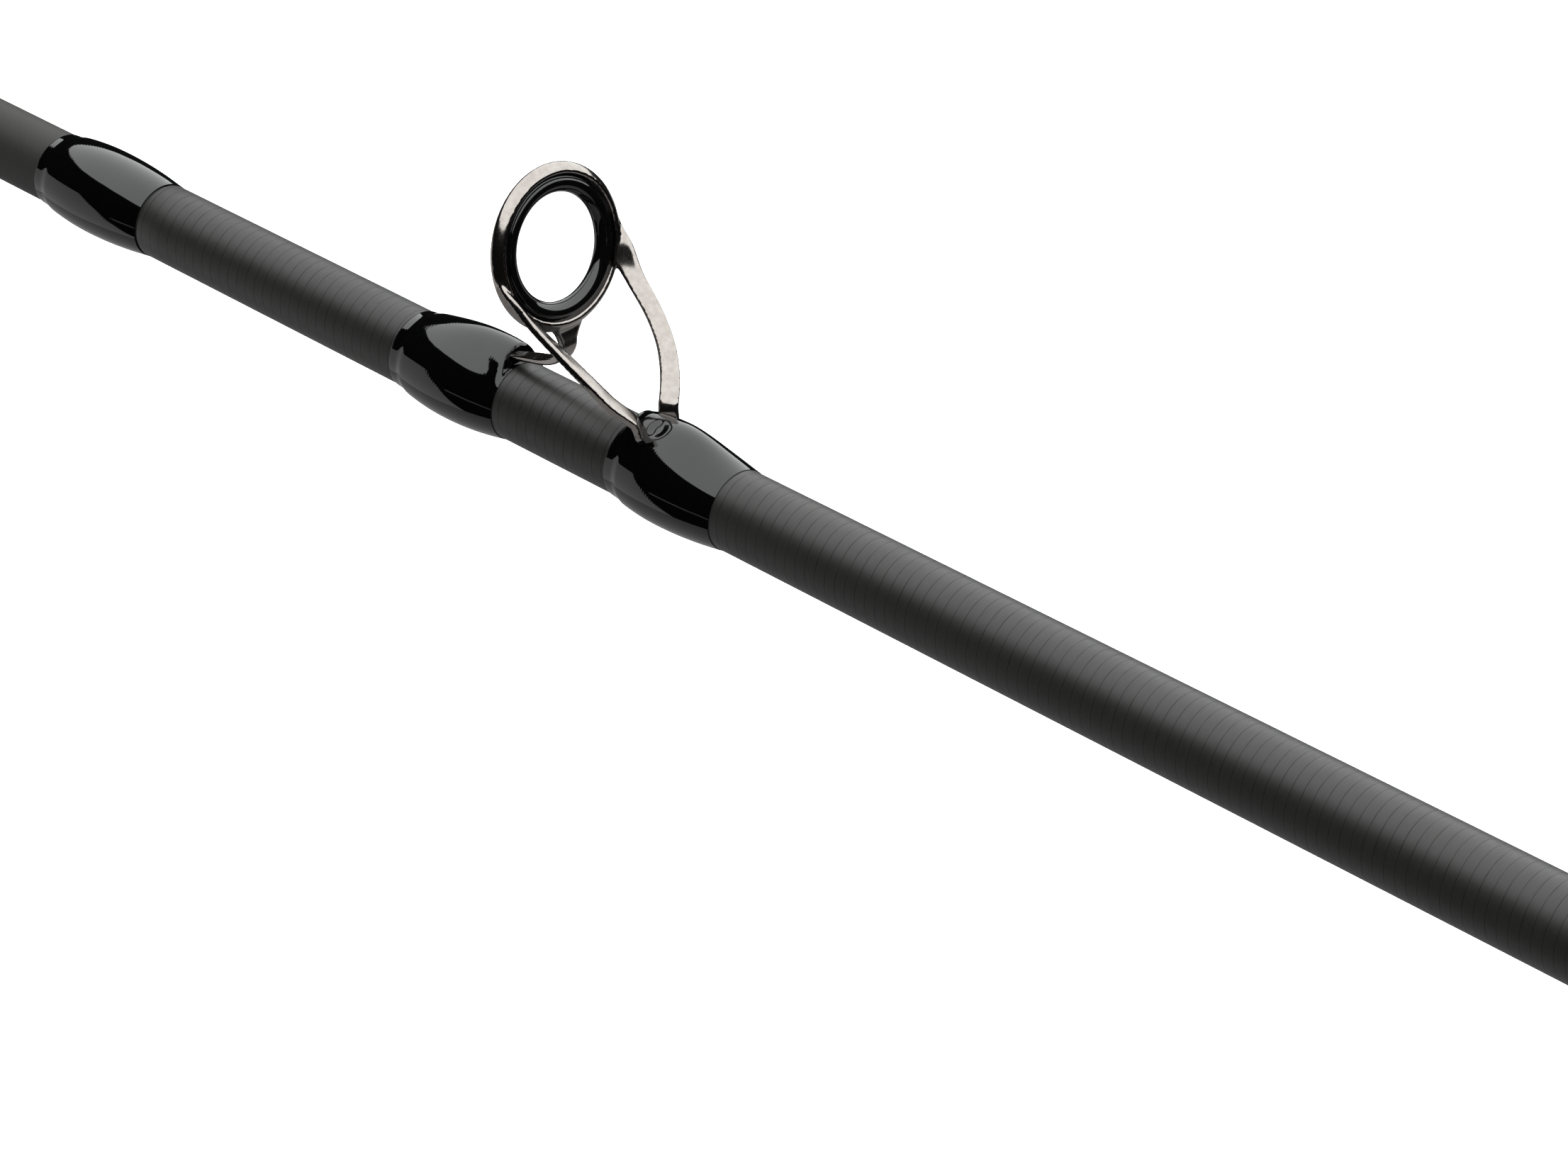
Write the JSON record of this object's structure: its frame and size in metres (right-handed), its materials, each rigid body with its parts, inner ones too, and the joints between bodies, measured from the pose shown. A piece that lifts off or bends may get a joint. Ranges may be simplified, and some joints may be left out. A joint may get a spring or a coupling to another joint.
{
  "type": "fishing rod and reel",
  "caption": "Two-piece casting rod with ringed line guides, foam grips and a screw-locked seat holding a round baitcasting reel with crank, star drag and level wind.",
  "frame": {"origin": "centre of the butt cap's flat end face, on the rod's axis", "axes": "+X out of the butt end, so the tip is at -X; +Z is the side that the guides and the reel stand on; +Y is the crank side"},
  "size_m": [1.8289, 0.103, 0.096],
  "materials": {
    "graphite": "satin carbon composite with fine spiral tape ridges",
    "satin_graphite": "sanded satin carbon composite",
    "epoxy": "black thread under clear gloss epoxy",
    "guide_metal": "polished warm grey stamped metal",
    "ceramic": "black gloss ceramic",
    "foam": "closed-cell foam, fine grain",
    "rubber": "moulded matt rubber",
    "seat_plastic": "moulded satin plastic",
    "knob_plastic": "moulded soft gloss plastic",
    "dark_metal": "anodised, satin",
    "bright_metal": "polished and turned",
    "steel": "ground steel",
    "brass": "machined brass",
    "friction": "fibre friction washer"
  },
  "bodies": {
    "rod": {"butt_blank": "graphite", "hook_keeper_wrap": "epoxy", "hook_keeper": "guide_metal", "guide_1_frame": "guide_metal", "guide_1_ring": "ceramic", "guide_1_rear_wrap": "epoxy", "guide_1_front_wrap": "epoxy", "rear_grip": "foam", "fore_grip": "foam", "butt_cap": "rubber", "reel_seat": "seat_plastic", "seat_arbor": "seat_plastic", "reel_frame": "dark_metal", "left_side_cover": "dark_metal", "right_side_cover": "dark_metal", "winding_check": "bright_metal", "reel_foot": "bright_metal", "level_wind_bar": "steel", "left_bearing": "steel", "right_bearing": "steel"},
    "tip_section": {"tip_blank": "satin_graphite", "ferrule_wrap": "epoxy", "tip_top_frame": "guide_metal", "tip_top_ring": "ceramic", "tip_top_wrap": "epoxy", "guide_2_frame": "guide_metal", "guide_2_ring": "ceramic", "guide_3_frame": "guide_metal", "guide_3_ring": "ceramic", "guide_4_frame": "guide_metal", "guide_4_ring": "ceramic", "guide_5_frame": "guide_metal", "guide_5_ring": "ceramic", "guide_6_frame": "guide_metal", "guide_6_ring": "ceramic", "guide_2_rear_wrap": "epoxy", "guide_2_front_wrap": "epoxy", "guide_3_wrap": "epoxy", "guide_4_wrap": "epoxy", "guide_5_wrap": "epoxy", "guide_6_wrap": "epoxy"},
    "moving_hood": {"moving_hood": "dark_metal"},
    "lock_nut": {"lock_nut": "dark_metal"},
    "crank": {"crank_arm": "bright_metal", "crank_nut": "bright_metal", "drive_shaft": "steel", "drive_gear": "brass", "drag_washer": "friction", "drag_plate": "steel"},
    "star_drag": {"star_drag": "bright_metal"},
    "front_knob": {"front_crank_knob": "knob_plastic"},
    "rear_knob": {"rear_crank_knob": "knob_plastic"},
    "spool": {"spool": "bright_metal", "spool_shaft": "steel", "pinion_gear": "brass"},
    "worm": {"worm_shaft": "steel", "worm_gear": "seat_plastic"},
    "line_guide": {"line_guide": "bright_metal"},
    "cast_control": {"cast_control_cap": "bright_metal"},
    "thumb_bar": {"thumb_bar": "seat_plastic"}
  },
  "joints": [
    {"name": "ferrule_slide", "type": "slide", "parent": "rod", "child": "tip_section", "axis": [-1, 0, 0], "range_m": [0, 0.08]},
    {"name": "hood_slide", "type": "slide", "parent": "rod", "child": "moving_hood", "axis": [-1, 0, 0], "range_m": [0, 0.012]},
    {"name": "lock_nut_turn", "type": "hinge", "parent": "moving_hood", "child": "lock_nut", "pos_m": [-0.394, 0, 0], "axis": [-1, 0, 0], "range_deg": [0, 1440]},
    {"name": "crank_spin", "type": "hinge", "parent": "rod", "child": "crank", "pos_m": [-0.34481, 0.047, 0.02685], "axis": [0, -1, 0], "continuous": true},
    {"name": "spool_spin", "type": "hinge", "parent": "rod", "child": "spool", "pos_m": [-0.342, 0, 0.0395], "axis": [0, -1, 0], "continuous": true},
    {"name": "worm_spin", "type": "hinge", "parent": "rod", "child": "worm", "pos_m": [-0.35906, 0, 0.02885], "axis": [0, -1, 0], "continuous": true},
    {"name": "line_guide_slide", "type": "slide", "parent": "rod", "child": "line_guide", "axis": [0, 1, 0], "range_m": [-0.0105, 0.0105]},
    {"name": "star_drag_turn", "type": "hinge", "parent": "crank", "child": "star_drag", "pos_m": [-0.34481, 0.042, 0.02685], "axis": [0, -1, 0], "range_deg": [-180, 270]},
    {"name": "front_knob_spin", "type": "hinge", "parent": "crank", "child": "front_knob", "pos_m": [-0.38189, 0.06, 0.04657], "axis": [0, 1, 0], "continuous": true},
    {"name": "rear_knob_spin", "type": "hinge", "parent": "crank", "child": "rear_knob", "pos_m": [-0.30772, 0.06, 0.00713], "axis": [0, 1, 0], "continuous": true},
    {"name": "cast_control_turn", "type": "hinge", "parent": "rod", "child": "cast_control", "pos_m": [-0.342, 0.039, 0.0395], "axis": [0, 1, 0], "range_deg": [-180, 360]},
    {"name": "thumb_bar_press", "type": "slide", "parent": "rod", "child": "thumb_bar", "axis": [0, 0, -1], "range_m": [0, 0.003], "stiffness_N_per_m": 150, "springref_m": -0.001}
  ],
  "couplings": [
    {"joint": "hood_slide", "follows": "lock_nut_turn", "m_per_rad": 0.00047746},
    {"joint": "spool_spin", "follows": "crank_spin", "ratio": -5},
    {"joint": "worm_spin", "follows": "crank_spin", "ratio": -3}
  ]
}
